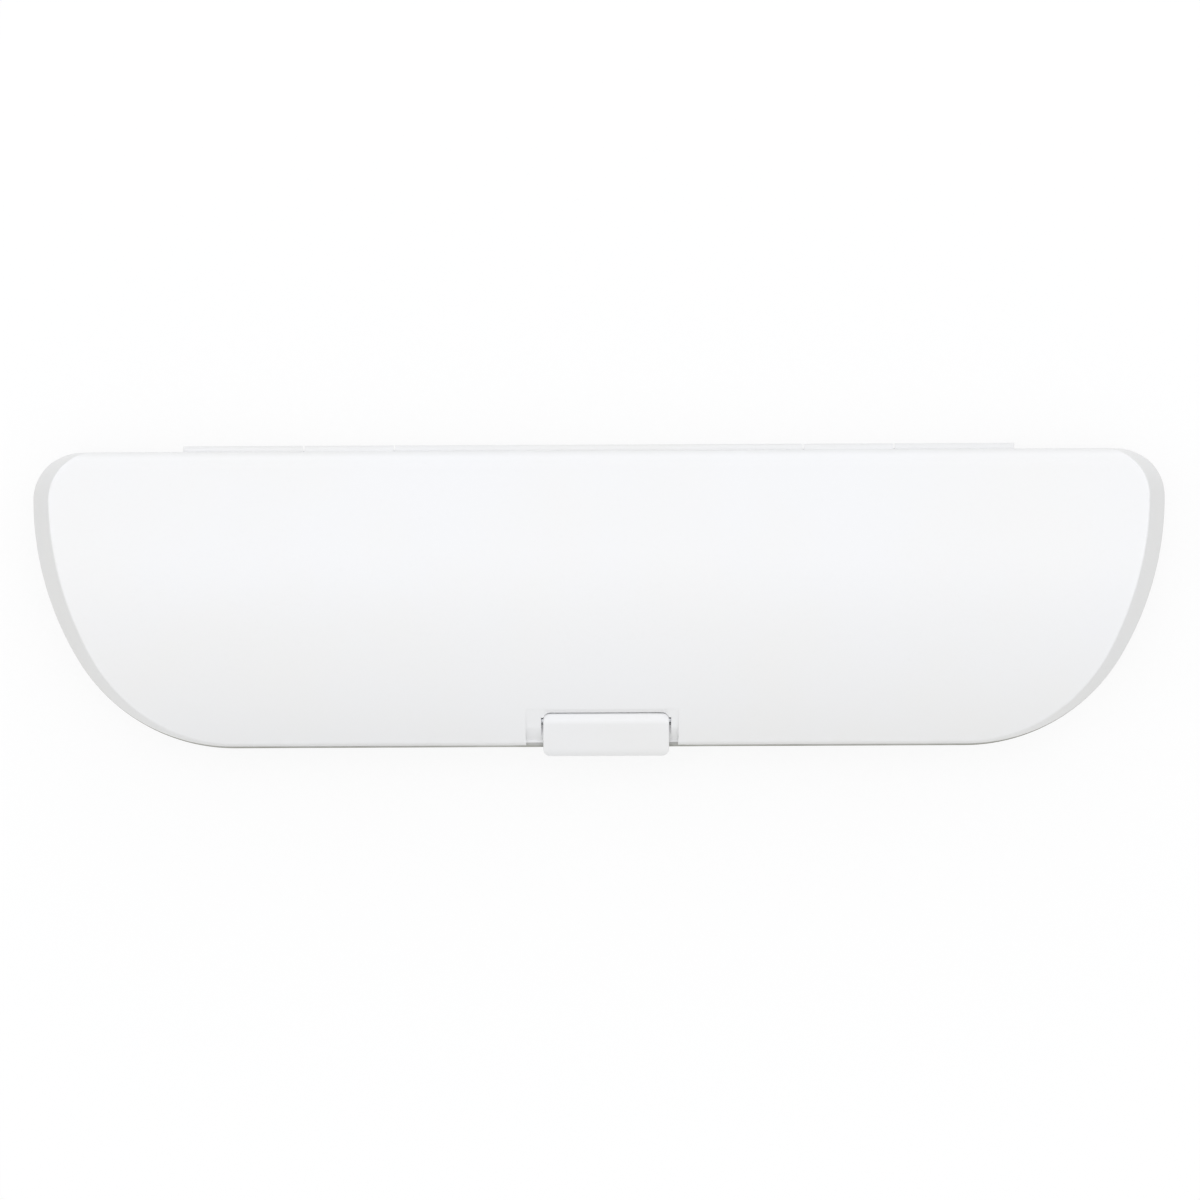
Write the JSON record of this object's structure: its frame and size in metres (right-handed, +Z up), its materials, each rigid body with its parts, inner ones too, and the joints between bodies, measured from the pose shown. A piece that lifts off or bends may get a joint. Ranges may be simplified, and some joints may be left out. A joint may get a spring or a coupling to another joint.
{
  "type": "electric toothbrush travel case",
  "caption": "Hinged plastic travel case with a domed, drafted lid, a swinging front latch and moulded inserts for a toothbrush handle and spare brush heads.",
  "frame": {"origin": "middle of the closed case on the surface it lies on", "axes": "+X along the case, -Y towards the latch, +Z up through the lid"},
  "size_m": [0.222, 0.061, 0.04],
  "materials": {
    "shell": "satin moulded white plastic",
    "insert": "fine matt moulded plastic",
    "soft": "soft matt rubber",
    "steel": "drawn steel wire",
    "latch": "satin moulded white plastic, a little glossier than the shells"
  },
  "bodies": {
    "base": {"base_shell": "shell", "base_tray": "insert", "handle_pad_left": "soft", "handle_pad_right": "soft", "head_rest_left": "soft", "head_rest_right": "soft", "hinge_pin_left": "steel", "hinge_pin_right": "steel"},
    "lid": {"lid_shell": "shell", "lid_liner": "insert", "lid_pad_left": "soft", "lid_pad_right": "soft", "latch_pin": "steel"},
    "latch": {"latch": "latch"}
  },
  "joints": [
    {"name": "lid_hinge", "type": "hinge", "parent": "base", "child": "lid", "pos_m": [0, 0.02875, 0.02], "axis": [-1, 0, 0], "range_deg": [0, 120]},
    {"name": "latch_hinge", "type": "hinge", "parent": "lid", "child": "latch", "pos_m": [0.0012, -0.0234, 0.02596], "axis": [-1, 0, 0], "range_deg": [0, 85]}
  ]
}
